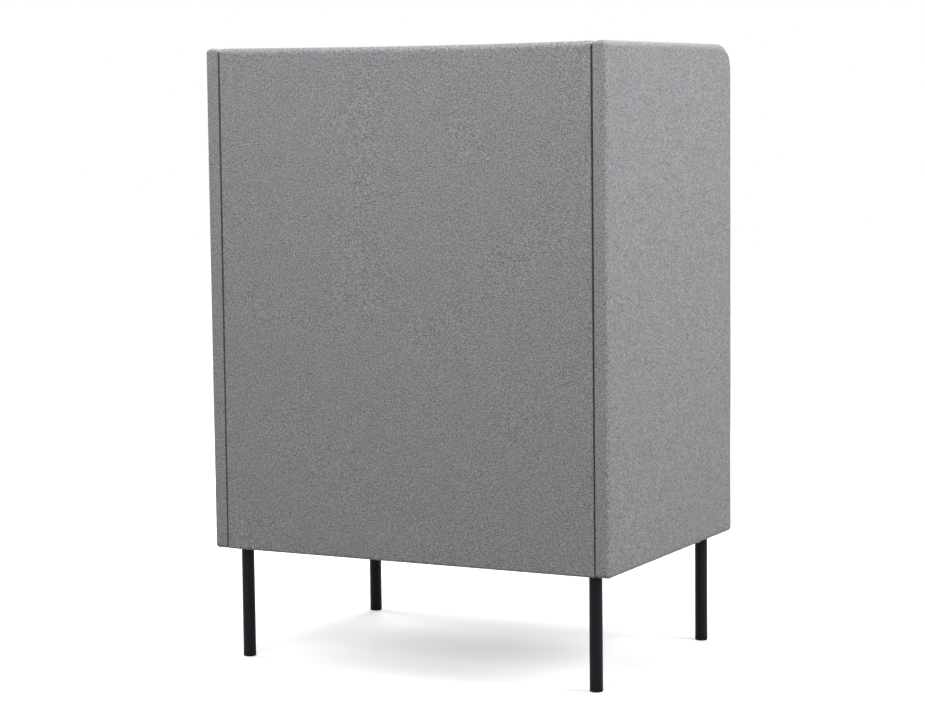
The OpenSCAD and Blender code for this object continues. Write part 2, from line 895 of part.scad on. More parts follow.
module seat_cushion_cover() {
  color(seat_grey) difference() {
    seat_cushion_form(0);
    seat_cushion_form(cover_t);
  }
}

module back_cushion_foam() { color(foam_cream) back_cushion_form(cover_t + panel_gap); }

module back_cushion_cover() {
  color(seat_grey) difference() {
    back_cushion_form(0);
    back_cushion_form(cover_t);
  }
}

// Legs: each is drawn with its axis on the origin and the chair's outer corner at +X +Y

module at_leg(way) {
  translate([way.x * leg_x, way.y * leg_y, 0])
    mirror([way.x < 0 ? 1 : 0, 0, 0]) mirror([0, way.y < 0 ? 1 : 0, 0]) children();
}

module at_legs() {
  for (x = [-1, 1], y = [-1, 1]) at_leg([x, y]) children();
}

// The three screws of a plate, along +Z from its lower face
module at_plate_screws() {
  near = leg_screw_near;
  far = leg_screw_far;
  for (p = [[far, near], [near, far], [far, far]])
    translate([-p.x, -p.y, plate_foot]) children();
}

module at_leg_screws() {
  at_legs() at_plate_screws() children();
}

module leg_plate_outline(grow) {
  low = plate_lap - plate_w - grow;
  high = plate_lap + grow;
  soft_rect([low, low], [high, high], [for (k = [0:3]) plate_corner_r + grow]);
}

module leg(way) {
  bore_d = leg_d - 2 * leg_wall;
  color(steel_black) at_leg(way) difference() {
    union() {
      translate([0, 0, glide_h]) cylinder(d = leg_d, h = plate_foot - glide_h);
      translate([0, 0, plate_foot - weld_leg])
        cylinder(d1 = leg_d, d2 = leg_d + 2 * weld_leg - 2 * fit_gap, h = weld_leg);
      translate([0, 0, plate_foot]) linear_extrude(plate_t) leg_plate_outline(0);
    }
    translate([0, 0, glide_h - over]) cylinder(d = bore_d, h = plate_foot - glide_h + over);
    at_plate_screws() csk_screw(leg_screw, fit_gap);
  }
}

module front_left_leg() { leg([1, -1]); }
module front_right_leg() { leg([-1, -1]); }
module rear_left_leg() { leg([1, 1]); }
module rear_right_leg() { leg([-1, 1]); }

module leg_screws() {
  color(zinc) at_leg_screws() csk_screw(leg_screw);
}

module leg_t_nuts() {
  color(zinc) at_leg_screws() translate([0, 0, plate_t + block_h]) t_nut(leg_t_nut);
}

// The plug in the lower end of a leg, with a pocket for its nut
module leg_inserts() {
  color(nylon_black) at_legs() difference() {
    translate([0, 0, glide_h]) cylinder(d = leg_d - 2 * leg_wall - 2 * fit_gap, h = insert_h);
    translate([0, 0, glide_h - over]) cylinder(d = stud_d + 2 * stud_gap, h = insert_h + 2 * over);
    translate([0, 0, glide_h + insert_h - nut_h])
      cylinder(d = (nut_w + 2 * fit_gap) / cos(30), h = nut_h + over, $fn = 6);
  }
}

module leg_insert_nuts() {
  color(zinc) at_legs() translate([0, 0, glide_h + insert_h - nut_h]) difference() {
    cylinder(d = nut_w / cos(30), h = nut_h, $fn = 6);
    translate([0, 0, -over]) cylinder(d = stud_d + 2 * stud_gap, h = nut_h + 2 * over);
  }
}

module glide_foot(way) {
  color(nylon_black) at_leg(way) difference() {
    rotate_extrude() soft_rect([0, 0], [leg_d / 2, foot_h], [0, foot_edge_r, foot_top_r, 0]);
    translate([0, 0, stud_seat]) cylinder(d = stud_d + 2 * fit_gap, h = foot_h);
  }
}

module glide_stud(way) {
  color(zinc) at_leg(way) translate([0, 0, stud_seat]) cylinder(d = stud_d, h = stud_len);
}

module front_left_glide_foot() { glide_foot([1, -1]); }
module front_right_glide_foot() { glide_foot([-1, -1]); }
module rear_left_glide_foot() { glide_foot([1, 1]); }
module rear_right_glide_foot() { glide_foot([-1, 1]); }
module front_left_glide_stud() { glide_stud([1, -1]); }
module front_right_glide_stud() { glide_stud([-1, -1]); }
module rear_left_glide_stud() { glide_stud([1, 1]); }
module rear_right_glide_stud() { glide_stud([-1, 1]); }

left_panel_cover();
right_panel_cover();
back_panel_cover();
left_panel_foam();
right_panel_foam();
back_panel_foam();
left_panel_frame();
right_panel_frame();
back_panel_frame();
left_acoustic_infill();
right_acoustic_infill();
back_acoustic_infill();
connector_plates();
connector_plate_screws();
connector_studs();
panel_bolts();
panel_bolt_washers();
panel_t_nuts();
front_rail();
rear_rail();
left_rail();
right_rail();
centre_rail();
corner_blocks();
rail_screws();
seat_deck();
deck_screws();
front_base_foam();
front_base_cover();
dust_cover();
left_arm_frame();
right_arm_frame();
left_arm_foam();
right_arm_foam();
left_arm_cover();
right_arm_cover();
arm_screws();
back_support_board();
back_cushion_tapes();
back_cushion_foam();
back_cushion_cover();
seat_cushion_foam();
seat_cushion_cover();
front_left_leg();
front_right_leg();
rear_left_leg();
rear_right_leg();
leg_screws();
leg_t_nuts();
leg_inserts();
leg_insert_nuts();
front_left_glide_foot();
front_right_glide_foot();
rear_left_glide_foot();
rear_right_glide_foot();
front_left_glide_stud();
front_right_glide_stud();
rear_left_glide_stud();
rear_right_glide_stud();
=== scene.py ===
"""Acoustic high back lounge chair: its fabric, cushions, steel legs and studio.

All sizes are in metres. The sitter looks along -Y, so left is +X.
"""

import math

import bmesh
import bpy
import numpy as np
from mathutils import Matrix, Vector, noise


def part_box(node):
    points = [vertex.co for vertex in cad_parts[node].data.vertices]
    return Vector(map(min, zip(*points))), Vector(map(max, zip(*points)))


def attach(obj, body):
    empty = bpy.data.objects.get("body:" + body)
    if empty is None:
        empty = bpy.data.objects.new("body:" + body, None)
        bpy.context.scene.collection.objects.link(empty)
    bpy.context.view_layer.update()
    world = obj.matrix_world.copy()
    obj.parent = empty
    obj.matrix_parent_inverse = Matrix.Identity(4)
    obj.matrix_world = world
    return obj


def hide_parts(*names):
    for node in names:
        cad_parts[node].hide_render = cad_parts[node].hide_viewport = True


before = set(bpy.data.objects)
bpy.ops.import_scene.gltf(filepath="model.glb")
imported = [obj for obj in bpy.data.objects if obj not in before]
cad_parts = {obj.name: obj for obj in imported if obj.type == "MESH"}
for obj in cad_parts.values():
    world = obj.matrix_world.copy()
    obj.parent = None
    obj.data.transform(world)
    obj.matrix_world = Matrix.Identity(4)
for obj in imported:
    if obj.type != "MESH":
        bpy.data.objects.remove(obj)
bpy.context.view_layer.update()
scene = bpy.context.scene

# Photograph: where the camera stood, in the chair's frame, and how it was turned
CAMERA_AT = Vector((-2.3921, 4.6369, 1.1102))
CAMERA_TURN = 207.56
CAMERA_TIP = 5.608
CAMERA_ROLL = -0.644
CAMERA_LENS_MM = 100.905
SENSOR_WIDTH_MM = 36

# Sizes that the frame gives
PANEL_LO, PANEL_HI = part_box("left_panel_cover")
BACK_LO, BACK_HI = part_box("back_panel_cover")
ARM_LO, ARM_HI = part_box("left_arm_cover")
SEAT_LO, SEAT_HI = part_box("seat_cushion_cover")
REST_LO, REST_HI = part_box("back_cushion_cover")
BASE_LO, BASE_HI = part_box("front_base_cover")
DUST_LO, DUST_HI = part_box("dust_cover")
PLATE_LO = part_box("rear_left_leg")[0]
SCREW_LO, SCREW_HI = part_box("leg_screws")
RAIL_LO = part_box("left_rail")[0]
CENTRE_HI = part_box("centre_rail")[1]
REAR_RAIL_LO, REAR_RAIL_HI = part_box("rear_rail")

SIDES = {"left": 1, "right": -1}
UP = Vector((0, 0, 1))
ALONG_X = (1, 0, 0)
ALONG_Y = (0, 1, 0)

# A length that counts as nothing, and how close to a board's foot its points lie in it
TINY = 1e-6
FOOT_ROOM = 1e-5

# Upholstery of the panels
FABRIC_T = 0.001
FOAM_INSET = 0.0013
FOAM_T = 0.0045
HEM_W = 0.010
WING_R = 0.052
CORNER_R = 0.008
SIDE_TOP_R = 0.0125
SIDE_INNER_TOP_R = 0.012
BACK_TOP_R = 0.012
BACK_INNER_TOP_R = 0.005
BACK_END_R = 0.010
OUTER_REAR_R = 0.009
FRONT_R = 0.006
SEAM_R = 0.0015
LOWER_R = 0.005
LEAST_R = 0.0005
# How softly the edge radii of two sides blend at a board's corner
RADIUS_BLEND = 0.004
# Padding: height and length of its waves, how far it is drawn in along its edges, and how far
# from an edge that reaches
PANEL_PADDING = (0.0007, 0.16, 0.0006, 0.02)
ARM_PADDING = (0.0009, 0.12, 0.0008, 0.03)
# At the edge itself it isn't drawn in, and from this far on it is
PADDING_START = 0.003
# The back panel's top edge: how far it hangs, how far down that reaches, and the power that
# moves its lowest place off the middle
TOP_SAG = 0.003
TOP_SAG_REACH = 0.10
TOP_SAG_LEAN = 0.8
# The back panel narrows at its rear face, which leaves a dark gap at each side, narrower at its
# foot than at its top, and starting this far below its top
SEAM_GAP_FOOT = 0.0021
SEAM_GAP_TOP = 0.0035
SEAM_START = 0.012
# How fast it narrows: at 1 the gap would have its full width only at the rear face
SEAM_FLARE = 1.6

# Distances of the mesh lines from an edge, and between lines on a face
NEAR_EDGE = (0, 0.0015, 0.003, 0.0045, 0.006, 0.008, 0.010, 0.013, 0.017, 0.022, 0.029)
NEAR_PAD_EDGE = (0, 0.0015, 0.003)
FACE_STEP = 0.012

# Arms and cushions
ARM_FOAM_T = 0.0098
ARM_FOLD_W = 0.016
ARM_R = 0.012
ARM_EDGE_R = 0.005
SEAM_DEPTH = 0.0020
CUSHION_STEP = 0.009
CUSHION_R = 0.026
CUSHION_EDGE_R = 0.004
CUSHION_DRAW = 0.006
CASE_SEAM_DEPTH = 0.0040
CASE_SEAM_W = 0.0022
# Room that a case leaves for its swell: at its sides, under it, and above its seam
SIDE_SWELL = 0.007
FOOT_SWELL = 0.004
SEAT_SWELL = 0.013
REST_SWELL = 0.012
SEAT_CROWN = 0.018
# How far the seat's crown may rise over the CAD cushion, and the room kept inside other faces
SEAT_RISE = 0.01
CASE_ROOM = 1e-4
# Least clearance from a case to its neighbours, and depth of the foam below a case
REST_GAP = 0.0005
CORE_INSET = 0.003
# The cloth of the cases and the air that fills them
CASE_CLOTH = {
    "quality": 6,
    "mass": 0.3,
    "tension_stiffness": 18,
    "compression_stiffness": 18,
    "shear_stiffness": 8,
    "bending_stiffness": 0.8,
    "use_pressure": True,
    "uniform_pressure_force": 4,
    "shrink_min": -0.012,
}
# How long the air works, and how firmly the seams are held meanwhile
SETTLE_FRAMES = 20
SEAM_HOLD = 0.5

# Front of the base: the rounding and bulge of its fabric, how far that reaches on under the
# cushion, its rounded ends, the foam under it, and its waves
APRON_R = 0.005
APRON_BULGE = 0.0009
FOLD_MORE = 0.026
END_R = 0.003
END_TUCK = 0.006
BASE_FOAM_R = 0.0038
BASE_FOAM_T = 0.005
BASE_WAVE = 0.0005
BASE_WAVE_LENGTH = 0.07
# Mesh lines of that fabric: under the rail, round a fold, up the front, over the deck, round an
# end, across one arm, and between the arms
UNDER_LINES = 4
FOLD_LINES = 7
FRONT_LINES = 10
DECK_LINES = 6
END_LINES = 6
ARM_LINES = 9
MIDDLE_LINES = 66

# Underside
DUST_SAG = 0.004
DUST_WAVE = 0.25
DUST_WAVE_LENGTH = 0.09
DUST_GAP = 0.0003
DUST_STEP = 0.022
DUST_FRONT_LINES = 5
DUST_REAR_LINES = 4
STAPLE_W = 0.010
STAPLE_R = 0.0005
STAPLE_RISE = 0.0012
STAPLE_CROWN = 0.93
STAPLE_STEP = 0.046
STAPLE_SIDES = 8
HEM_STAPLE_IN = 0.0065
HEM_STAPLE_END = 0.02
SCREW_SIDES = 24
SCREW_HEAD_R = 0.006
SCREW_SHANK_R = 0.003
SOCKET_FLATS = 0.004
SOCKET_DEPTH = 0.0024
LEG_SCREWS_APART = 0.033

# Studio: the floor's glow grows from near the chair to far away
FLOOR_RADIUS = 14
FLOOR_SIDES = 64
FLOOR_NEAR = 0.9
FLOOR_FAR = 2.8
FLOOR_NEAR_GLOW = 0.45
FLOOR_FAR_GLOW = 1
ROOM_LIGHT = 0.1
# Softboxes: name, place, what it looks at, side, power in watts
SOFTBOXES = [
    ("overhead_softbox", (0, 0.6, 3.0), (0, 0.3, 0), 2.4, 38),
    ("right_softbox", (-3.0, -0.2, 2.6), (-0.4, 0.2, 0.9), 1.8, 96),
    ("left_softbox", (3.0, -0.6, 2.2), (0.4, 0, 0.8), 1.8, 54),
    ("rear_softbox", (-0.15, 3.2, 3.0), (0, 0.3, 0.9), 1.8, 76),
    ("front_softbox", (1.0, -3.0, 2.3), (0, 0, 0.7), 2.2, 86),
]


def linear(colour):
    """A linear RGBA colour from an sRGB hex value."""
    parts = [int(colour[i:i + 2], 16) / 255 for i in (1, 3, 5)]
    return tuple(c / 12.92 if c <= 0.04045 else ((c + 0.055) / 1.055) ** 2.4 for c in parts) + (1,)


def add(tree, kind, settings=None, sockets=None):
    """Add a shader node; a socket takes a value, or the output that is linked to it."""
    made = tree.nodes.new("ShaderNode" + kind)
    for name, value in (settings or {}).items():
        setattr(made, name, value)
    for name, value in (sockets or {}).items():
        if isinstance(value, bpy.types.NodeSocket):
            tree.links.new(value, made.inputs[name])
        else:
            made.inputs[name].default_value = value
    return made


def new_material(name):
    """An empty material, its node tree, and the chair's own coordinates in metres."""
    material = bpy.data.materials.new(name)
    material.use_nodes = True
    tree = material.node_tree
    tree.nodes.clear()
    place = add(tree, "TexCoord").outputs["Object"]
    return material, tree, place


def finish_material(tree, sockets):
    """Close a material with one Principled shader."""
    shader = add(tree, "BsdfPrincipled", sockets=sockets)
    add(tree, "OutputMaterial", sockets={"Surface": shader.outputs["BSDF"]})


def per_metre(size_mm):
    """The scale of a pattern whose grains are this many millimetres apart."""
    return 1000 / size_mm


def blend_colours(tree, factor, first, second):
    """The output that runs from one colour to the other."""
    mixed = add(tree, "Mix", {"data_type": "RGBA"}, {0: factor, 6: first, 7: second})
    return mixed.outputs[2]


def spread(tree, value, low, high):
    """Stretch the values between low and high to 0 and 1."""
    ranged = add(tree, "MapRange", None, {0: value, 1: low, 2: high, 3: 0, 4: 1})
    return ranged.outputs[0]


def melange_felt(name, light, dark):
    """Fulled wool felt of mixed light and dark fibres: a matt, speckled, slightly fuzzy grey."""
    material, tree, place = new_material(name)
    # Real fibres are 0.03 mm thick; they are drawn as flecks of 2.8 mm, coarse enough to show
    fleck = add(tree, "TexNoise", None, {
        "Vector": place, "Scale": per_metre(2.8), "Detail": 2, "Roughness": 0.7,
        "Distortion": 0.4,
    }).outputs[0]
    cloud = add(tree, "TexNoise", None, {
        "Vector": place, "Scale": per_metre(38), "Detail": 2, "Roughness": 0.5,
    }).outputs[0]
    shade = add(tree, "Math", {"operation": "MULTIPLY_ADD"}, {0: cloud, 1: 0.04, 2: fleck})
    colour = blend_colours(
        tree, spread(tree, shade.outputs[0], 0.35, 0.69), linear(dark), linear(light))
    nap = add(tree, "TexNoise", None, {
        "Vector": place, "Scale": per_metre(1.1), "Detail": 4, "Roughness": 0.6,
        "Distortion": 1.5,
    }).outputs[0]
    bump = add(tree, "Bump", None, {"Height": nap, "Strength": 0.5, "Distance": 0.0006})
    finish_material(tree, {
        "Base Color": colour, "Normal": bump.outputs[0], "Roughness": 0.95,
        "Specular IOR Level": 0.2, "Sheen Weight": 0.12, "Sheen Roughness": 0.5,
    })
    return material


def birch_plywood(name, light, dark):
    """Sanded birch plywood, bare or stained: long grain and a soft satin face."""
    material, tree, place = new_material(name)
    long_grain = add(tree, "Mapping", None, {"Vector": place, "Scale": (1, 8, 8)}).outputs[0]
    grain = add(tree, "TexNoise", None, {
        "Vector": long_grain, "Scale": per_metre(24), "Detail": 5, "Roughness": 0.6,
        "Distortion": 0.8,
    }).outputs[0]
    colour = blend_colours(
        tree, spread(tree, grain, 0.3, 0.7), linear(dark), linear(light))
    bump = add(tree, "Bump", None, {"Height": grain, "Strength": 0.2, "Distance": 0.0003})
    finish_material(tree, {
        "Base Color": colour, "Normal": bump.outputs[0], "Roughness": 0.6, "IOR": 1.5,
    })
    return material


def cut_foam():
    """Cut polyurethane foam: cream, with open cells that make it look soft and dry."""
    material, tree, place = new_material("polyurethane_foam_cut")
    cells = add(tree, "TexVoronoi", None, {"Vector": place, "Scale": per_metre(1.4)}).outputs[0]
    colour = blend_colours(
        tree, spread(tree, cells, 0.1, 0.7), linear("#f0e9cf"), linear("#cfc39c"))
    bump = add(tree, "Bump", None, {"Height": cells, "Strength": 0.6, "Distance": 0.0006})
    finish_material(tree, {
        "Base Color": colour, "Normal": bump.outputs[0], "Roughness": 0.95,
        "Specular IOR Level": 0.1,
    })
    return material


def needled_infill():
    """Needled polyester felt, the sound absorbing pad: pale grey with crossed fibres."""
    material, tree, place = new_material("polyester_infill_needled")
    fibre = add(tree, "TexNoise", None, {
        "Vector": place, "Scale": per_metre(3), "Detail": 5, "Roughness": 0.7,
        "Distortion": 3,
    }).outputs[0]
    colour = blend_colours(
        tree, spread(tree, fibre, 0.3, 0.7), linear("#b4b8bb"), linear("#e2e4e5"))
    bump = add(tree, "Bump", None, {"Height": fibre, "Strength": 0.5, "Distance": 0.001})
    finish_material(tree, {
        "Base Color": colour, "Normal": bump.outputs[0], "Roughness": 0.95,
        "Specular IOR Level": 0.1,
    })
    return material


def zinc_steel():
    """Bright zinc plated steel: a cool metal with faint cloudy patches."""
    material, tree, place = new_material("steel_zinc_plated")
    cloud = add(tree, "TexNoise", None, {
        "Vector": place, "Scale": per_metre(4), "Detail": 4,
    }).outputs[0]
    colour = blend_colours(tree, cloud, linear("#a9aeb4"), linear("#c9cdd1"))
    roughness = add(tree, "MapRange", None, {0: cloud, 3: 0.28, 4: 0.42}).outputs[0]
    finish_material(tree, {"Base Color": colour, "Metallic": 1, "Roughness": roughness})
    return material


def powder_coated_steel():
    """Powder coated steel tube: near black, satin, with fine orange peel in its gloss."""
    material, tree, place = new_material("steel_powder_coated_black")
    # Real orange peel is about 0.8 mm apart; it is drawn at 1.2 mm so that it shows
    peel = add(tree, "TexNoise", None, {
        "Vector": place, "Scale": per_metre(1.2), "Detail": 2,
    }).outputs[0]
    cloud = add(tree, "TexNoise", None, {
        "Vector": place, "Scale": per_metre(30), "Detail": 3,
    }).outputs[0]
    colour = blend_colours(tree, cloud, linear("#0f1116"), linear("#14161c"))
    bump = add(tree, "Bump", None, {"Height": peel, "Strength": 0.25, "Distance": 0.0002})
    roughness = add(tree, "MapRange", None, {0: cloud, 3: 0.42, 4: 0.52}).outputs[0]
    finish_material(tree, {
        "Base Color": colour, "Normal": bump.outputs[0], "Roughness": roughness,
        "Specular IOR Level": 0.12, "IOR": 1.5,
    })
    return material


def moulded_nylon():
    """Moulded nylon: black, a little rougher than the paint, with a fine spark texture."""
    material, tree, place = new_material("nylon_moulded_black")
    spark = add(tree, "TexNoise", None, {
        "Vector": place, "Scale": per_metre(0.9), "Detail": 3,
    }).outputs[0]
    colour = blend_colours(tree, spark, linear("#08080a"), linear("#121214"))
    bump = add(tree, "Bump", None, {"Height": spark, "Strength": 0.3, "Distance": 0.0002})
    finish_material(tree, {
        "Base Color": colour, "Normal": bump.outputs[0], "Roughness": 0.6,
        "Specular IOR Level": 0.12, "IOR": 1.53,
    })
    return material


def bonded_cloth(name, light, dark, dot_mm):
    """Point bonded polypropylene cloth: dull black with rows of small pressed dots."""
    material, tree, place = new_material(name)
    # Real bond points are 1.5 mm apart
    dots = add(tree, "TexVoronoi", None, {
        "Vector": place, "Scale": per_metre(dot_mm), "Randomness": 0.15,
    }).outputs[0]
    fibre = add(tree, "TexNoise", None, {
        "Vector": place, "Scale": per_metre(6), "Detail": 5, "Distortion": 2,
    }).outputs[0]
    shade = add(tree, "Math", {"operation": "MULTIPLY_ADD"}, {0: fibre, 1: 0.5, 2: dots})
    colour = blend_colours(
        tree, spread(tree, shade.outputs[0], 0.2, 1.0), linear(dark), linear(light))
    bump = add(tree, "Bump", None, {"Height": dots, "Strength": 0.5, "Distance": 0.0003})
    finish_material(tree, {
        "Base Color": colour, "Normal": bump.outputs[0], "Roughness": 0.8,
        "Specular IOR Level": 0.3,
    })
    return material


PANEL_FELT = melange_felt("wool_felt_melange_grey", "#b9b6ba", "#6b696c")
SEAT_FELT = melange_felt("wool_felt_melange_dark", "#a9a6aa", "#5c5a5d")
PLYWOOD = birch_plywood("birch_plywood_sanded", "#dcc095", "#b8935c")
STAINED_PLYWOOD = birch_plywood("birch_plywood_stained_black", "#2e2b29", "#1b1918")
FOAM = cut_foam()
INFILL = needled_infill()
ZINC = zinc_steel()
POWDER_COAT = powder_coated_steel()
NYLON = moulded_nylon()
DUST_CLOTH = bonded_cloth("polypropylene_dust_cloth_bonded", "#3a3a3e", "#1c1c1f", 1.5)
TAPE = bonded_cloth("hook_tape_woven_black", "#35353a", "#151518", 1.2)


def lattice(counts):
    """The surface of a box as index triples, and the quads between them."""
    index = {}
    quads = []
    for axis in range(3):
        across, along = [n for n in range(3) if n != axis]
        for end in (0, counts[axis] - 1):
            for i in range(counts[across] - 1):
                for j in range(counts[along] - 1):
                    quad = []
                    for di, dj in ((0, 0), (1, 0), (1, 1), (0, 1)):
                        spot = [0, 0, 0]
                        spot[axis] = end
                        spot[across] = i + di
                        spot[along] = j + dj
                        quad.append(index.setdefault(tuple(spot), len(index)))
                    quads.append(quad)
    return np.array(list(index)), quads


def spaced(length, step, near):
    """Distances along an edge: close together near its ends, then evenly spaced."""
    close = [d for d in near if d < length / 2]
    count = max(2, round((length - 2 * close[-1]) / step) + 1)
    middle = np.linspace(close[-1], length - close[-1], count)
    return np.unique(np.round(np.concatenate([close, middle, length - np.array(close)]), 6))


def corner_centre(lo, hi, way, r):
    """The middle of a rounded corner of an outline."""
    return [hi[k] - r if way[k] > 0 else lo[k] + r for k in (0, 1)]


def to_disc(a, b):
    """Map the unit square's corner to a quarter disc."""
    return a * np.sqrt(1 - b * b / 2), b * np.sqrt(1 - a * a / 2)


def round_outline(u, v, lo, hi, corners):
    """Round the corners of an outline seen from its face."""
    for way, r in corners.items():
        mid = corner_centre(lo, hi, way, r)
        a = (u - mid[0]) * way[0] / r
        b = (v - mid[1]) * way[1] / r
        hit = (a > 0) & (b > 0)
        a2, b2 = to_disc(np.clip(a, 0, 1), np.clip(b, 0, 1))
        u = np.where(hit, mid[0] + way[0] * r * a2, u)
        v = np.where(hit, mid[1] + way[1] * r * b2, v)
    return u, v


def outline_depth(u, v, lo, hi, corners):
    """How deep each point lies inside the outline, and the way out from there."""
    gaps = np.stack([u - lo[0], hi[0] - u, v - lo[1], hi[1] - v])
    ways = np.array([(-1, 0), (1, 0), (0, -1), (0, 1)])
    nearest = gaps.argmin(0)
    depth = gaps.min(0)
    out = ways[nearest].astype(float)
    for way, r in corners.items():
        mid = corner_centre(lo, hi, way, r)
        du = u - mid[0]
        dv = v - mid[1]
        reach = np.hypot(du, dv)
        hit = (du * way[0] > 0) & (dv * way[1] > 0) & (reach > TINY)
        depth = np.where(hit, r - reach, depth)
        safe = np.where(hit, reach, 1)
        out[:, 0] = np.where(hit, du / safe, out[:, 0])
        out[:, 1] = np.where(hit, dv / safe, out[:, 1])
    return np.maximum(depth, 0), out, gaps


def edge_radius(gaps, radii):
    """The radius of the edge at each point, blended from the four sides' radii."""
    weights = 1 / (np.maximum(gaps, 0) + RADIUS_BLEND) ** 4
    return (weights * np.array(radii)[:, None]).sum(0) / weights.sum(0)


def round_edge(u, v, w, depth, out, face, way, r):
    """Round the edge between the rim and the face at w = face, which looks along way."""
    p = (r - depth) / r
    q = ((w - face) * way + r) / r
    hit = (p > 0) & (q > 0)
    p2, q2 = to_disc(np.clip(p, 0, 1), np.clip(q, 0, 1))
    inward = np.where(hit, (p - p2) * r, 0)
    w = np.where(hit, face - way * r + way * r * q2, w)
    return u - out[:, 0] * inward, v - out[:, 1] * inward, w


class Board:
    """A padded board, lying in the plane of two axes and thick along the third.

    corners gives each rounded corner's radius, inner and outer give the edge radii at the low
    and high side of the first plane axis, then at the bottom and the top.
    """

    def __init__(self, plane, lo, hi, corners, inner, outer, step=FACE_STEP, near=NEAR_EDGE):
        self.step = step
        self.near = near
        self.plane = plane
        self.lo = lo
        self.hi = hi
        self.corners = corners
        self.inner = inner
        self.outer = outer

    def points(self, inset):
        """The board's surface drawn in by an inset: points, quads, and which points are edges."""
        a, b, c = self.plane
        lo = [self.lo[k] + inset for k in (a, b, c)]
        hi = [self.hi[k] - inset for k in (a, b, c)]
        lines = [lo[k] + spaced(hi[k] - lo[k], self.step, self.near) for k in range(3)]
        spots, quads = lattice([len(line) for line in lines])
        ends = [(spots[:, k] == 0) | (spots[:, k] == len(lines[k]) - 1) for k in range(3)]
        u, v, w = (lines[k][spots[:, k]] for k in range(3))
        corners = {way: max(r - inset, LEAST_R) for way, r in self.corners.items()}
        u, v = round_outline(u, v, lo, hi, corners)
        depth, out, gaps = outline_depth(u, v, lo, hi, corners)
        for face, way, radii in ((lo[2], -1, self.inner), (hi[2], 1, self.outer)):
            r = np.maximum(edge_radius(gaps, radii) - inset, LEAST_R)
            u, v, w = round_edge(u, v, w, depth, out, face, way, r)
        made = np.zeros((len(u), 3))
        made[:, a] = u
        made[:, b] = v
        made[:, c] = w
        return made, quads, ends[2] & (ends[0] | ends[1])

    def middle_and_half(self):
        """The board's middle, and half of its size."""
        lo = np.array(self.lo)
        hi = np.array(self.hi)
        return (lo + hi) / 2, (hi - lo) / 2


def make_mesh(name, points, quads, material):
    """A mesh object with its faces turned outward and smooth shading."""
    mesh = bpy.data.meshes.new(name)
    mesh.from_pydata([tuple(p) for p in points], [], quads)
    form = bmesh.new()
    form.from_mesh(mesh)
    bmesh.ops.remove_doubles(form, verts=form.verts, dist=TINY)
    bmesh.ops.dissolve_degenerate(form, edges=form.edges, dist=TINY)
    bmesh.ops.recalc_face_normals(form, faces=form.faces)
    form.to_mesh(mesh)
    form.free()
    mesh.shade_smooth()
    mesh.materials.append(material)
    made = bpy.data.objects.new(name, mesh)
    scene.collection.objects.link(made)
    return made


def thicken(piece, thickness, offset=-1):
    """Give a skin its thickness, inward, or on both sides with an offset of 0."""
    solid = piece.modifiers.new("thickness", "SOLIDIFY")
    solid.thickness = thickness
    solid.offset = offset


def ripple(points, size, wave, seed):
    """How far the padding rises at each point, as slow uneven waves."""
    away = Vector((seed, 0, 0))
    return np.array([size * noise.noise(Vector(p) / wave + away) for p in points])


def soften(points, board, padding, seed):
    """Let the faces of a board rise and fall, and draw them in a little near their edges."""
    size, wave, pull, reach = padding
    a, b, c = board.plane
    middle = (board.lo[c] + board.hi[c]) / 2
    way = np.sign(points[:, c] - middle)
    lo = [board.lo[k] for k in (a, b)]
    hi = [board.hi[k] for k in (a, b)]
    depth, _, _ = outline_depth(points[:, a], points[:, b], lo, hi, board.corners)
    flat = np.clip(depth / reach, 0, 1)
    drawn = pull * (1 - flat) * np.minimum(depth / PADDING_START, 1)
    points[:, c] += way * (ripple(points, size, wave, seed) * flat - drawn)
    return points


def lower_top(points, top, sag):
    """Let the top edge hang a little between its ends."""
    share = np.clip((points[:, 2] - (top - TOP_SAG_REACH)) / TOP_SAG_REACH, 0, 1)
    points[:, 2] -= sag(points) * share * share * (3 - 2 * share)
    return points


def open_foot(quads, points, board, hem):
    """Leave out the quads of the foot inside the hem."""
    a, b, c = board.plane
    foot = points[:, b].min() + FOOT_ROOM
    kept = []
    for quad in quads:
        corners = points[quad]
        low = (corners[:, b] < foot).all()
        mid = corners.mean(0)
        inside = all(board.lo[k] + hem < mid[k] < board.hi[k] - hem for k in (a, c))
        if not (low and inside):
            kept.append(quad)
    return kept


def side_panel_board():
    """The left side panel, in its own place."""
    corners = {(-1, 1): WING_R, (1, 1): CORNER_R, (-1, -1): CORNER_R, (1, -1): CORNER_R}
    return Board(
        (1, 2, 0), PANEL_LO, PANEL_HI, corners,
        inner=(FRONT_R, SEAM_R, LOWER_R, SIDE_INNER_TOP_R),
        outer=(FRONT_R, OUTER_REAR_R, CORNER_R, SIDE_TOP_R),
    )


def back_panel_board():
    """The back panel, between the side panels."""
    corners = {(x, z): BACK_END_R if z > 0 else SEAM_R for x in (-1, 1) for z in (-1, 1)}
    return Board(
        (0, 2, 1), BACK_LO, BACK_HI, corners,
        inner=(SEAM_R, SEAM_R, LOWER_R, BACK_INNER_TOP_R),
        outer=(SEAM_R, SEAM_R, LOWER_R, BACK_TOP_R),
    )


def back_top_sag(points):
    """The back panel's top edge hangs most a little to the sitter's right of its middle."""
    half = BACK_HI.x
    share = np.clip((points[:, 0] + half) / (2 * half), 0, 1)
    return TOP_SAG * np.sin(math.pi * share ** TOP_SAG_LEAN)


def no_sag(points):
    """A side panel's top edge is straight."""
    return np.zeros(len(points))


def as_it_is(points):
    """A side panel keeps its width all over."""
    return points


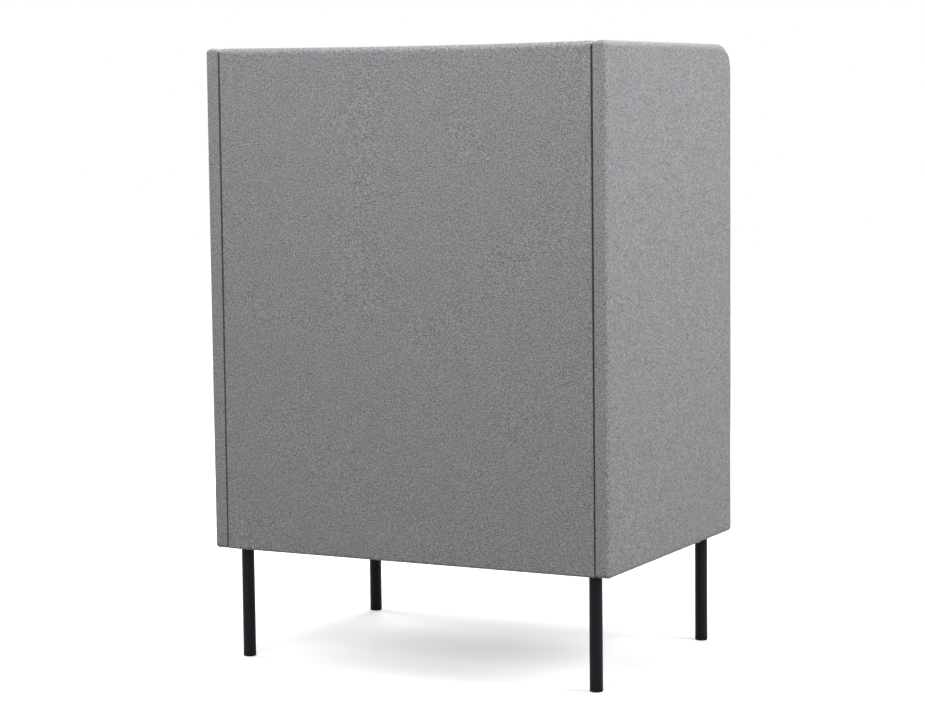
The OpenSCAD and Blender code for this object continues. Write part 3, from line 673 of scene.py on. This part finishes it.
def narrow_rear(points):
    """Draw the sides of the back panel in towards its rear face."""
    deep = np.clip((points[:, 1] - BACK_LO.y) / (BACK_HI.y - BACK_LO.y) * SEAM_FLARE, 0, 1)
    below = np.clip((BACK_HI.z - points[:, 2]) / SEAM_START, 0, 1)
    rise = (points[:, 2] - BACK_LO.z) / (BACK_HI.z - BACK_LO.z)
    gap = SEAM_GAP_FOOT + (SEAM_GAP_TOP - SEAM_GAP_FOOT) * rise
    points[:, 0] *= 1 - gap / BACK_HI.x * deep * below ** 2
    return points


def upholster_panel(name, board, mirrored, sag, seed, fitted=as_it_is):
    """The cover and the foam of a panel, in its place."""
    for kind, inset, thickness, material, slot, hem in (
        ("cover", 0, FABRIC_T, PANEL_FELT, "panel_fabric", HEM_W),
        ("foam", FOAM_INSET, FOAM_T, FOAM, "foam", HEM_W - FOAM_T),
    ):
        points, quads, _ = board.points(inset)
        quads = open_foot(quads, points, board, hem)
        points = soften(points, board, PANEL_PADDING, seed)
        points = lower_top(points, board.hi[2], sag)
        points = fitted(points)
        if mirrored:
            points[:, 0] *= -1
        piece = make_mesh(f"{name}_panel_{kind}_made", points, quads, material)
        thicken(piece, thickness)
        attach(piece, "body")
        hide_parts(f"{name}_panel_{kind}")


for side, hand in SIDES.items():
    upholster_panel(side, side_panel_board(), hand < 0, no_sag, 7 + hand)
upholster_panel("back", back_panel_board(), False, back_top_sag, 3, narrow_rear)


def sink_seams(points, edges, board, depth):
    """Sink the sewn edges of a cover a little towards its middle."""
    middle, half = board.middle_and_half()
    inner = middle + np.clip(points - middle, -(half - ARM_R), half - ARM_R)
    way = inner - points
    length = np.maximum(np.linalg.norm(way, axis=1), TINY)
    points[edges] += (way / length[:, None] * depth)[edges]
    return points


def arm_board():
    """The left arm, in its own place."""
    corners = {(-1, 1): ARM_R, (1, 1): ARM_R, (-1, -1): ARM_EDGE_R, (1, -1): ARM_EDGE_R}
    return Board(
        (1, 2, 0), ARM_LO, ARM_HI, corners,
        inner=(ARM_R, ARM_EDGE_R, SEAM_R, ARM_R),
        outer=(ARM_EDGE_R, ARM_EDGE_R, LEAST_R, ARM_EDGE_R),
    )


def upholster_arm(side, hand):
    """The cover and the foam of an arm."""
    board = arm_board()
    for kind, inset, thickness, material, slot in (
        ("cover", 0, FABRIC_T, SEAT_FELT, "seat_fabric"),
        ("foam", FOAM_INSET, ARM_FOAM_T, FOAM, "foam"),
    ):
        points, quads, edges = board.points(inset)
        quads = open_foot(quads, points, board, ARM_FOLD_W)
        points = soften(points, board, ARM_PADDING, 21 + hand)
        points = sink_seams(points, edges, board, SEAM_DEPTH)
        points[:, 0] *= hand
        piece = make_mesh(f"{side}_arm_{kind}_made", points, quads, material)
        thicken(piece, thickness)
        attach(piece, "body")
        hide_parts(f"{side}_arm_{kind}")


for side, hand in SIDES.items():
    upholster_arm(side, hand)


def blow_up(piece, seams, most):
    """Fill a sewn case: its cloth swells between the seams, which stay where they are."""
    start = np.array([v.co for v in piece.data.vertices])
    group = piece.vertex_groups.new(name="seams")
    group.add([int(i) for i in np.flatnonzero(seams)], SEAM_HOLD, "REPLACE")
    cloth = piece.modifiers.new("filling", "CLOTH")
    for setting, value in CASE_CLOTH.items():
        setattr(cloth.settings, setting, value)
    cloth.settings.effector_weights.gravity = 0
    cloth.settings.vertex_group_mass = "seams"
    cloth.point_cache.frame_end = SETTLE_FRAMES
    for moment in range(1, SETTLE_FRAMES + 1):
        scene.frame_set(moment)
    filled = piece.evaluated_get(bpy.context.evaluated_depsgraph_get())
    points = np.array([v.co for v in filled.data.vertices])
    piece.modifiers.remove(cloth)
    piece.vertex_groups.remove(group)
    scene.frame_set(1)
    moved = points - start
    farthest = max(np.linalg.norm(moved, axis=1).max(), TINY)
    return start + moved * min(1, most / farthest)


def fit_width(points, board, lo, hi):
    """Stretch a filled case to the width and length that it has between its neighbours."""
    fitted = points.copy()
    for k in board.plane[:2]:
        low, high = points[:, k].min(), points[:, k].max()
        fitted[:, k] = lo[k] + (points[:, k] - low) * (hi[k] - lo[k]) / (high - low)
    return fitted


def draw_sides(points, board):
    """Draw the sides of a cushion in between its corners."""
    a, b, _ = board.plane
    middle, half = board.middle_and_half()
    u = points[:, a] - middle[a]
    v = points[:, b] - middle[b]
    drawn = points.copy()
    drawn[:, a] -= u * CUSHION_DRAW / half[a] * (1 - (v / half[b]) ** 2)
    drawn[:, b] -= v * CUSHION_DRAW / half[b] * (1 - (u / half[a]) ** 2)
    return drawn


def set_points(piece, points):
    """Move the points of a mesh."""
    piece.data.vertices.foreach_set("co", points.astype(np.float32).ravel())
    piece.data.update()


def seam_points(piece, points, edges):
    """Which points of a finished mesh are seam points, after doubles were joined."""
    sewn = {tuple(np.round(p, 5)) for p in points[edges]}
    return np.array([tuple(np.round(v.co, 5)) in sewn for v in piece.data.vertices])


def groove_seams(piece, seams, width, depth):
    """Press the sewn edges of a case in as narrow grooves with a sharp bottom."""
    form = bmesh.new()
    form.from_mesh(piece.data)
    form.verts.ensure_lookup_table()
    sewn = {form.verts[int(i)] for i in np.flatnonzero(seams)}
    lines = [e for e in form.edges if e.verts[0] in sewn and e.verts[1] in sewn]
    made = bmesh.ops.bevel(
        form, geom=lines, offset=width, segments=2, profile=0.5, affect="EDGES")
    rounds = set(made["faces"])
    form.normal_update()
    sunk = {v for v in form.verts if v.link_faces and rounds.issuperset(v.link_faces)}
    for vert in sunk:
        vert.co -= vert.normal * depth
    crease = form.edges.layers.float.new("crease_edge")
    for edge in form.edges:
        edge[crease] = sunk.issuperset(edge.verts)
    form.to_mesh(piece.data)
    form.free()


def make_cushion(name, plane, lo, hi, most, keep_in):
    """A box cushion: a sewn case over a foam core."""
    space_lo, space_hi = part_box(f"{name}_cover")
    corners = {(u, v): CUSHION_R for u in (-1, 1) for v in (-1, 1)}
    radii = (CUSHION_EDGE_R,) * 4
    board = Board(plane, lo, hi, corners, radii, radii, CUSHION_STEP, (0,))
    points, quads, edges = board.points(0)
    points = draw_sides(points, board)
    case = make_mesh(f"{name}_cover_made", points, quads, SEAT_FELT)
    seams = seam_points(case, points, edges)
    filled = blow_up(case, seams, most)
    filled = fit_width(filled, board, space_lo, space_hi)
    set_points(case, keep_in(filled))
    core = bpy.data.objects.new(f"{name}_foam_made", case.data.copy())
    scene.collection.objects.link(core)
    core.data.materials[0] = FOAM
    depths = np.where(seams, CORE_INSET + CASE_SEAM_DEPTH, CORE_INSET)
    inner = np.array([v.co - v.normal * d for v, d in zip(case.data.vertices, depths)])
    set_points(core, inner)
    groove_seams(case, seams, CASE_SEAM_W, CASE_SEAM_DEPTH)
    for piece, kind, slot in ((case, "cover", "seat_fabric"), (core, "foam", "foam")):
        smooth = piece.modifiers.new("smooth", "SUBSURF")
        smooth.levels = 1
        smooth.render_levels = 1
        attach(piece, "body")
        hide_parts(f"{name}_{kind}")


def keep_seat(points):
    """The seat cushion lies flat on the deck and keeps clear of the arms and the back cushion."""
    crown = np.array(SEAT_HI) - CASE_ROOM + (0, 0, SEAT_RISE)
    return np.clip(points, np.array(SEAT_LO) + CASE_ROOM, crown)


def keep_rest(points):
    """The back cushion leans flat on its board and keeps clear of the panels and the arms."""
    kept = np.clip(points, np.array(REST_LO) + CASE_ROOM, np.array(REST_HI) - CASE_ROOM)
    beside = (np.abs(kept[:, 0]) > ARM_LO.x - ARM_R) & (kept[:, 2] < ARM_HI.z + ARM_R)
    kept[:, 1] = np.where(beside, np.maximum(kept[:, 1], ARM_HI.y + REST_GAP), kept[:, 1])
    return kept


make_cushion(
    "seat_cushion", (0, 1, 2),
    SEAT_LO + Vector((SIDE_SWELL, SIDE_SWELL, FOOT_SWELL)),
    SEAT_HI - Vector((SIDE_SWELL, SIDE_SWELL, SEAT_SWELL)), SEAT_CROWN, keep_seat)
make_cushion(
    "back_cushion", (0, 2, 1),
    REST_LO + Vector((SIDE_SWELL, REST_SWELL, SIDE_SWELL)),
    REST_HI - Vector((SIDE_SWELL, FOOT_SWELL, SIDE_SWELL)), REST_SWELL, keep_rest)


def base_route():
    """The run of the base's fabric: under the rail, up the front, back over the deck."""
    lo_y, lo_z = BASE_LO.y, BASE_LO.z
    hi_z = BASE_HI.z
    r = APRON_R
    turns = np.radians(np.linspace(0, 90, FOLD_LINES))
    route = [(y, lo_z) for y in np.linspace(BASE_HI.y, lo_y + r, UNDER_LINES)]
    route += [(lo_y + r - r * math.sin(t), lo_z + r - r * math.cos(t)) for t in turns[1:]]
    route += [(lo_y, z) for z in np.linspace(lo_z + r, hi_z - r, FRONT_LINES)[1:]]
    route += [(lo_y + r - r * math.cos(t), hi_z - r + r * math.sin(t)) for t in turns[1:]]
    first_fold = len(route) - 1
    route += [(y, hi_z) for y in np.linspace(lo_y + r, BASE_HI.y + FOLD_MORE, DECK_LINES)[1:]]
    return route, first_fold


def base_columns(notch):
    """The places across the base, each with how far the fabric turns back there."""
    turns = np.radians(np.linspace(0, 90, END_LINES))
    flat = BASE_HI.x - END_R
    half = [(x, 0) for x in np.linspace(notch, flat, ARM_LINES)[:-1]]
    half += [(flat + END_R * math.sin(t), END_R * (1 - math.cos(t))) for t in turns]
    half.append((BASE_HI.x, END_R + END_TUCK))
    middle = [(x, 0) for x in np.linspace(-notch, notch, MIDDLE_LINES)[1:-1]]
    return [(-x, back) for x, back in reversed(half)] + middle + half


def wrap_base():
    """The fabric over the front of the seat base, and the foam under it."""
    route, first_fold = base_route()
    notch = ARM_LO.x - LEAST_R
    columns = base_columns(notch)
    points = []
    for x, back in columns:
        for y, z in route:
            middle = math.sin(math.pi * (z - BASE_LO.z) / (BASE_HI.z - BASE_LO.z))
            bulge = APRON_BULGE * middle if y < BASE_LO.y + APRON_R else 0
            wave = BASE_WAVE * noise.noise(Vector((x, 0, z)) / BASE_WAVE_LENGTH)
            points.append((x, y + back - bulge + wave, z))
    count = len(route)
    quads = []
    for i in range(len(columns) - 1):
        under_arm = abs(columns[i][0] + columns[i + 1][0]) / 2 > notch
        for j in range(first_fold if under_arm else count - 1):
            k = i * count + j
            quads.append((k, k + 1, k + count + 1, k + count))
    piece = make_mesh("front_base_cover_made", np.array(points), quads, PANEL_FELT)
    thicken(piece, FABRIC_T)
    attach(piece, "body")
    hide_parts("front_base_cover")
    lo = BASE_LO + Vector((END_R + FABRIC_T, FOAM_INSET, FOAM_INSET))
    hi = Vector((BASE_HI.x - END_R - FABRIC_T, lo.y + BASE_FOAM_T, BASE_HI.z - FOAM_INSET))
    corners = {(x, z): LEAST_R for x in (-1, 1) for z in (-1, 1)}
    pad = Board(
        (0, 2, 1), lo, hi, corners, (LEAST_R, LEAST_R, BASE_FOAM_R, BASE_FOAM_R),
        (LEAST_R,) * 4, FACE_STEP, NEAR_PAD_EDGE)
    points, quads, _ = pad.points(0)
    foam = make_mesh("front_base_foam_made", points, quads, FOAM)
    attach(foam, "body")
    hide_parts("front_base_foam")


wrap_base()


def dust_sag(x, y):
    """How far the dust cloth hangs below its rails, in the bay on each side of the middle rail."""
    across = (abs(x) - CENTRE_HI.x) / (RAIL_LO.x - CENTRE_HI.x)
    along = (y - DUST_LO.y) / (REAR_RAIL_LO.y - DUST_LO.y)
    if not (0 < across < 1 and 0 < along < 1):
        return 0
    deep = DUST_SAG * math.sin(math.pi * across) * math.sin(math.pi * along)
    return deep * (1 + DUST_WAVE * noise.noise(Vector((x, y, 0)) / DUST_WAVE_LENGTH))


def lay_dust_cloth():
    """The cloth stapled under the base, cut away at the leg plates and slack between rails."""
    notch_x = PLATE_LO.x - DUST_GAP
    notch_y = PLATE_LO.y - DUST_GAP
    across = np.linspace(-notch_x, notch_x, 2 * round(notch_x / DUST_STEP) + 1)
    xs = [DUST_LO.x, -RAIL_LO.x, *across, RAIL_LO.x, DUST_HI.x]
    front = np.linspace(DUST_LO.y, -notch_y, DUST_FRONT_LINES)[:-1]
    along = np.linspace(-notch_y, notch_y, 2 * round(notch_y / DUST_STEP) + 1)
    rear = np.linspace(notch_y, REAR_RAIL_LO.y, DUST_REAR_LINES)[1:]
    ys = [*front, *along, *rear, DUST_HI.y]
    middle = (DUST_LO.z + DUST_HI.z) / 2
    points = np.array([(x, y, middle - dust_sag(x, y)) for x in xs for y in ys])
    quads = []
    for i in range(len(xs) - 1):
        for j in range(len(ys) - 1):
            mid_x = abs(xs[i] + xs[i + 1]) / 2
            mid_y = abs(ys[j] + ys[j + 1]) / 2
            if mid_x > notch_x and mid_y > notch_y:
                continue
            k = i * len(ys) + j
            quads.append((k, k + len(ys), k + len(ys) + 1, k + 1))
    cloth = make_mesh("dust_cover_made", points, quads, DUST_CLOTH)
    thicken(cloth, DUST_HI.z - DUST_LO.z, 0)
    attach(cloth, "body")
    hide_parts("dust_cover")


lay_dust_cloth()


def bar_faces(rings, sides):
    """The faces of a closed bar whose points come ring by ring."""
    faces = []
    for i in range(rings - 1):
        for k in range(sides):
            a = i * sides + k
            b = i * sides + (k + 1) % sides
            faces.append((a, b, b + sides, a + sides))
    faces.append(tuple(range(sides))[::-1])
    faces.append(tuple(range((rings - 1) * sides, rings * sides)))
    return faces


def merge(forms):
    """The points and faces of several forms as those of one."""
    points = []
    faces = []
    for own, own_faces in forms:
        faces += [tuple(i + len(points) for i in face) for face in own_faces]
        points += own
    return points, faces


def staple(at, way):
    """A wire staple: its crown, and its legs turned up into the wood."""
    at = Vector(at)
    half = Vector(way) * STAPLE_W / 2
    up = STAPLE_RISE * UP
    route = [at - half + up, at - half * STAPLE_CROWN, at + half * STAPLE_CROWN, at + half + up]
    points = []
    for i, spot in enumerate(route):
        before = route[max(i - 1, 0)]
        after = route[min(i + 1, len(route) - 1)]
        along = (after - before).normalized()
        across = along.cross(UP).normalized()
        beside = along.cross(across)
        for k in range(STAPLE_SIDES):
            angle = 2 * math.pi * k / STAPLE_SIDES
            points.append(spot + STAPLE_R * (math.cos(angle) * across + math.sin(angle) * beside))
    return points, bar_faces(len(route), STAPLE_SIDES)


def spots_between(low, high):
    """Even places for staples between two ends."""
    return np.linspace(low, high, max(2, round((high - low) / STAPLE_STEP) + 1))


def drive_staples(name, places):
    """A row of wire staples in one mesh; a place is a point and the way of the crown."""
    points, faces = merge(staple(at, way) for at, way in places)
    piece = make_mesh(name, points, faces, ZINC)
    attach(piece, "body")


def staple_underside():
    """The staples of the dust cloth, of the panels' hems and of the base's fabric."""
    side_x = (RAIL_LO.x + DUST_HI.x) / 2
    rear_y = (REAR_RAIL_LO.y + REAR_RAIL_HI.y) / 2
    end_y = PLATE_LO.y - STAPLE_W
    foot = DUST_LO.z
    dust = [((side * side_x, y, foot), ALONG_Y)
            for side in SIDES.values() for y in spots_between(-end_y, end_y)]
    end_x = PLATE_LO.x - STAPLE_W
    dust += [((x, rear_y, foot), ALONG_X) for x in spots_between(-end_x, end_x)]
    dust += [((x, DUST_LO.y + 2 * STAPLE_R, foot), ALONG_X) for x in spots_between(-end_x, end_x)]
    drive_staples("dust_cover_staples", dust)
    hem = PANEL_LO.z
    panel = [((side * x, y, hem), ALONG_Y)
             for side in SIDES.values()
             for x in (PANEL_LO.x + HEM_STAPLE_IN, PANEL_HI.x - HEM_STAPLE_IN)
             for y in spots_between(PANEL_LO.y + HEM_STAPLE_END, PANEL_HI.y - HEM_STAPLE_END)]
    panel += [((x, y, hem), ALONG_X)
              for y in (BACK_LO.y + HEM_STAPLE_IN, BACK_HI.y - HEM_STAPLE_IN)
              for x in spots_between(BACK_LO.x + HEM_STAPLE_END, BACK_HI.x - HEM_STAPLE_END)]
    drive_staples("panel_hem_staples", panel)
    base_y = (BASE_LO.y + BASE_HI.y) / 2
    base = [((x, base_y, BASE_LO.z), ALONG_X)
            for x in spots_between(BASE_LO.x + HEM_STAPLE_END, BASE_HI.x - HEM_STAPLE_END)]
    drive_staples("base_hem_staples", base)


staple_underside()


def socket_screw(at):
    """A countersunk screw with a hexagon socket, head down, from the face of its head."""
    turns = [2 * math.pi * k / SCREW_SIDES for k in range(SCREW_SIDES)]
    flat = SOCKET_FLATS / 2
    hexagon = [flat / math.cos((t + math.pi / 6) % (math.pi / 3) - math.pi / 6) for t in turns]
    length = SCREW_HI.z - SCREW_LO.z
    head = [SCREW_HEAD_R] * SCREW_SIDES
    shank = [SCREW_SHANK_R] * SCREW_SIDES
    rings = [
        (hexagon, SOCKET_DEPTH), (hexagon, LEAST_R / 2), ([r + LEAST_R / 2 for r in hexagon], 0),
        (head, 0), (shank, SCREW_HEAD_R - SCREW_SHANK_R), (shank, length),
    ]
    points = [
        (at[0] + r * math.cos(t), at[1] + r * math.sin(t), at[2] + z)
        for radii, z in rings for r, t in zip(radii, turns)]
    return points, bar_faces(len(rings), SCREW_SIDES)


def drive_leg_screws():
    """The three socket screws in each leg plate."""
    near_x = SCREW_HI.x - SCREW_HEAD_R
    near_y = SCREW_HI.y - SCREW_HEAD_R
    far_x = near_x - LEG_SCREWS_APART
    far_y = near_y - LEG_SCREWS_APART
    points, faces = merge(
        socket_screw((side * x, end * y, SCREW_LO.z))
        for x, y in ((far_x, near_y), (near_x, far_y), (far_x, far_y))
        for side in (-1, 1) for end in (-1, 1))
    piece = make_mesh("leg_screws_made", points, faces, ZINC)
    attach(piece, "body")
    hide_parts("leg_screws")


drive_leg_screws()


def dress_nodes(material, *nodes):
    """Give the CAD nodes that stay in the scene their material."""
    for name in nodes:
        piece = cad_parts[name]
        piece.data.materials.clear()
        piece.data.materials.append(material)


CORNERS = [f"{end}_{side}" for end in ("front", "rear") for side in SIDES]
dress_nodes(
    PLYWOOD, "left_panel_frame", "right_panel_frame", "back_panel_frame", "front_rail",
    "rear_rail", "left_rail", "right_rail", "centre_rail", "corner_blocks", "seat_deck",
    "left_arm_frame", "right_arm_frame",
)
dress_nodes(STAINED_PLYWOOD, "back_support_board")
dress_nodes(
    ZINC, "connector_plates", "connector_plate_screws", "connector_studs", "panel_bolts",
    "panel_bolt_washers", "panel_t_nuts", "rail_screws", "deck_screws", "arm_screws",
    "leg_t_nuts", "leg_insert_nuts", *(f"{corner}_glide_stud" for corner in CORNERS),
)
dress_nodes(INFILL, "left_acoustic_infill", "right_acoustic_infill", "back_acoustic_infill")
dress_nodes(POWDER_COAT, *(f"{corner}_leg" for corner in CORNERS))
dress_nodes(NYLON, "leg_inserts", *(f"{corner}_glide_foot" for corner in CORNERS))
dress_nodes(TAPE, "back_cushion_tapes")


def aim_camera():
    """Put the camera where the photograph was taken."""
    turn, tip, roll = (math.radians(a) for a in (CAMERA_TURN, CAMERA_TIP, CAMERA_ROLL))
    sight = Vector((
        -math.sin(turn) * math.cos(tip), math.cos(turn) * math.cos(tip), -math.sin(tip)))
    level = Vector((math.cos(turn), math.sin(turn), 0))
    upright = level.cross(sight)
    right = math.cos(roll) * level + math.sin(roll) * upright
    up = math.cos(roll) * upright - math.sin(roll) * level
    lens = bpy.data.cameras.new("camera")
    lens.sensor_width = SENSOR_WIDTH_MM
    lens.lens = CAMERA_LENS_MM
    camera = bpy.data.objects.new("camera", lens)
    turned = Matrix((right, up, -sight)).transposed().to_4x4()
    camera.matrix_world = Matrix.Translation(CAMERA_AT) @ turned
    scene.collection.objects.link(camera)
    scene.camera = camera


def seen_directly(tree):
    """1 for the camera's own rays and for what shows in gloss and glass, 0 for other light."""
    rays = add(tree, "LightPath").outputs
    gloss = add(tree, "Math", {"operation": "MAXIMUM"}, {
        0: rays["Is Glossy Ray"], 1: rays["Is Transmission Ray"]})
    return add(tree, "Math", {"operation": "MAXIMUM"}, {
        0: rays["Is Camera Ray"], 1: gloss.outputs[0]}).outputs[0]


def lay_floor():
    """A plain pale studio floor that keeps the chair's soft shadow, and fades to white."""
    material, tree, place = new_material("studio_floor_matt")
    reach = add(tree, "VectorMath", {"operation": "LENGTH"}, {0: place}).outputs["Value"]
    fade = add(tree, "MapRange", {"interpolation_type": "SMOOTHSTEP"}, {
        0: reach, 1: FLOOR_NEAR, 2: FLOOR_FAR, 3: FLOOR_NEAR_GLOW, 4: FLOOR_FAR_GLOW})
    bounce = add(tree, "BsdfDiffuse", None, {"Color": linear("#8a8a8a")})
    paper = add(tree, "BsdfDiffuse", None, {"Color": linear("#e6e6e6")})
    glow = add(tree, "Emission", None, {"Color": (1, 1, 1, 1), "Strength": fade.outputs[0]})
    lit = add(tree, "AddShader", None, {0: paper.outputs[0], 1: glow.outputs[0]})
    both = add(tree, "MixShader", None, {
        0: seen_directly(tree), 1: bounce.outputs[0], 2: lit.outputs[0]})
    add(tree, "OutputMaterial", None, {"Surface": both.outputs[0]})
    form = bmesh.new()
    bmesh.ops.create_circle(form, cap_ends=True, segments=FLOOR_SIDES, radius=FLOOR_RADIUS)
    mesh = bpy.data.meshes.new("floor")
    form.to_mesh(mesh)
    form.free()
    mesh.materials.append(material)
    floor = bpy.data.objects.new("floor", mesh)
    scene.collection.objects.link(floor)


def light_world():
    """An even grey studio, seen as white."""
    world = bpy.data.worlds.new("studio")
    world.use_nodes = True
    tree = world.node_tree
    tree.nodes.clear()
    room = add(tree, "Background", None, {"Color": (1, 1, 1, 1), "Strength": ROOM_LIGHT})
    backdrop = add(tree, "Background", None, {"Color": (1, 1, 1, 1), "Strength": 1})
    both = add(tree, "MixShader", None, {
        0: seen_directly(tree), 1: room.outputs[0], 2: backdrop.outputs[0]})
    add(tree, "OutputWorld", None, {"Surface": both.outputs[0]})
    scene.world = world


def hang_light(name, at, target, size, power):
    """A square softbox that looks at a target."""
    lamp = bpy.data.lights.new(name, "AREA")
    lamp.shape = "SQUARE"
    lamp.size = size
    lamp.energy = power
    made = bpy.data.objects.new(name, lamp)
    way = Vector(target) - Vector(at)
    made.matrix_world = Matrix.Translation(at) @ way.to_track_quat("-Z", "Y").to_matrix().to_4x4()
    scene.collection.objects.link(made)


aim_camera()
lay_floor()
light_world()
for softbox in SOFTBOXES:
    hang_light(*softbox)

scene.view_settings.view_transform = "Standard"
